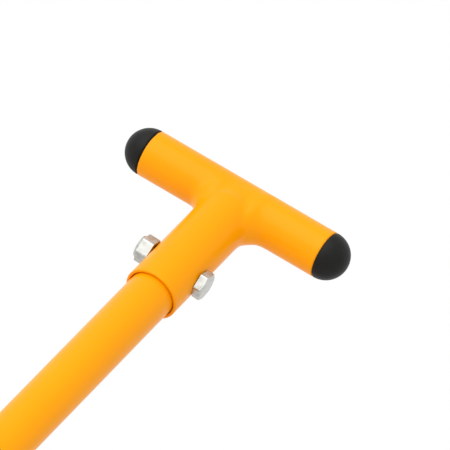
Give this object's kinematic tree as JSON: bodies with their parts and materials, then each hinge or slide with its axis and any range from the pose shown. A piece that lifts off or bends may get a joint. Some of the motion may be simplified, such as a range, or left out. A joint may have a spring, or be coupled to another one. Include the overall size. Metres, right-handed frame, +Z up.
{
  "type": "folding parking lock",
  "caption": "Fold-down parking lock: a T-post with capped ends on a hinge, a brace whose rollers run in a ground rail, and a key-driven bolt that holds it raised.",
  "frame": {"origin": "centre of the four anchor holes, on the ground under the base plates", "axes": "+X along the rail from the hinge to the far end, +Y along the crossbar, +Z up"},
  "size_m": [0.4929, 0.182, 0.5521],
  "materials": {
    "yellow_paint": "semi-gloss",
    "black_cap": "satin",
    "nylon": "satin",
    "zinc_steel": "satin",
    "galvanised_steel": "matte",
    "buffer_rubber": "matte",
    "lock_brass": "satin",
    "chrome": "polished"
  },
  "bodies": {
    "base": {"anchor_plate_rear": "galvanised_steel", "anchor_plate_front": "galvanised_steel", "base_rail": "yellow_paint", "guide_strip_left": "yellow_paint", "guide_strip_right": "yellow_paint", "rest_buffer": "buffer_rubber", "hinge_bolt": "zinc_steel", "hinge_washers": "zinc_steel", "hinge_nut": "zinc_steel", "lock_housing": "yellow_paint", "lock_cover": "yellow_paint", "cover_screws": "zinc_steel", "bolt_guide": "zinc_steel", "bolt_bed": "zinc_steel", "cylinder_body": "chrome", "cylinder_nut": "chrome"},
    "post": {"post_tube": "yellow_paint", "post_end_plug": "black_cap", "hinge_lug_left": "yellow_paint", "hinge_lug_right": "yellow_paint", "hinge_sleeve": "yellow_paint", "hinge_bushes": "nylon", "brace_lug_left": "yellow_paint", "brace_lug_right": "yellow_paint", "pivot_bolt": "zinc_steel", "pivot_washers": "zinc_steel", "pivot_nut": "zinc_steel", "head_collar": "yellow_paint", "head_weld": "yellow_paint", "head_crossbar": "yellow_paint", "head_cap_left": "black_cap", "head_cap_right": "black_cap", "head_bolt": "zinc_steel", "head_nut": "zinc_steel"},
    "brace": {"brace_tube": "yellow_paint", "brace_eye": "yellow_paint", "eye_bushes": "nylon", "foot_sleeve": "yellow_paint", "foot_axle": "zinc_steel", "foot_washers": "zinc_steel", "axle_clips": "zinc_steel"},
    "roller_left": {"foot_roller_left": "nylon"},
    "roller_right": {"foot_roller_right": "nylon"},
    "key_barrel": {"lock_plug": "lock_brass", "key": "lock_brass", "drive_cam": "zinc_steel", "cam_screw": "zinc_steel"},
    "bolt": {"lock_bolt": "zinc_steel"}
  },
  "joints": [
    {"name": "post_fold", "type": "hinge", "parent": "base", "child": "post", "pos_m": [-0.2, 0, 0.025], "axis": [0, 1, 0], "range_deg": [0, 55]},
    {"name": "brace_fold", "type": "hinge", "parent": "post", "child": "brace", "pos_m": [-0.07955, 0, 0.19702], "axis": [0, -1, 0], "range_deg": [0, 110]},
    {"name": "roller_left_spin", "type": "hinge", "parent": "brace", "child": "roller_left", "pos_m": [0.0409, 0.028, 0.025], "axis": [0, 1, 0], "continuous": true},
    {"name": "roller_right_spin", "type": "hinge", "parent": "brace", "child": "roller_right", "pos_m": [0.0409, -0.028, 0.025], "axis": [0, 1, 0], "continuous": true},
    {"name": "key_turn", "type": "hinge", "parent": "base", "child": "key_barrel", "pos_m": [0.07224, -0.07, 0.045], "axis": [0, 0, -1], "range_deg": [0, 90]},
    {"name": "bolt_slide", "type": "slide", "parent": "base", "child": "bolt", "axis": [0, 1, 0], "range_m": [0, 0.012]}
  ],
  "couplings": [
    {"joint": "brace_fold", "follows": "post_fold", "ratio": 2},
    {"joint": "bolt_slide", "follows": "key_turn", "m_per_rad": 0.0076394}
  ]
}
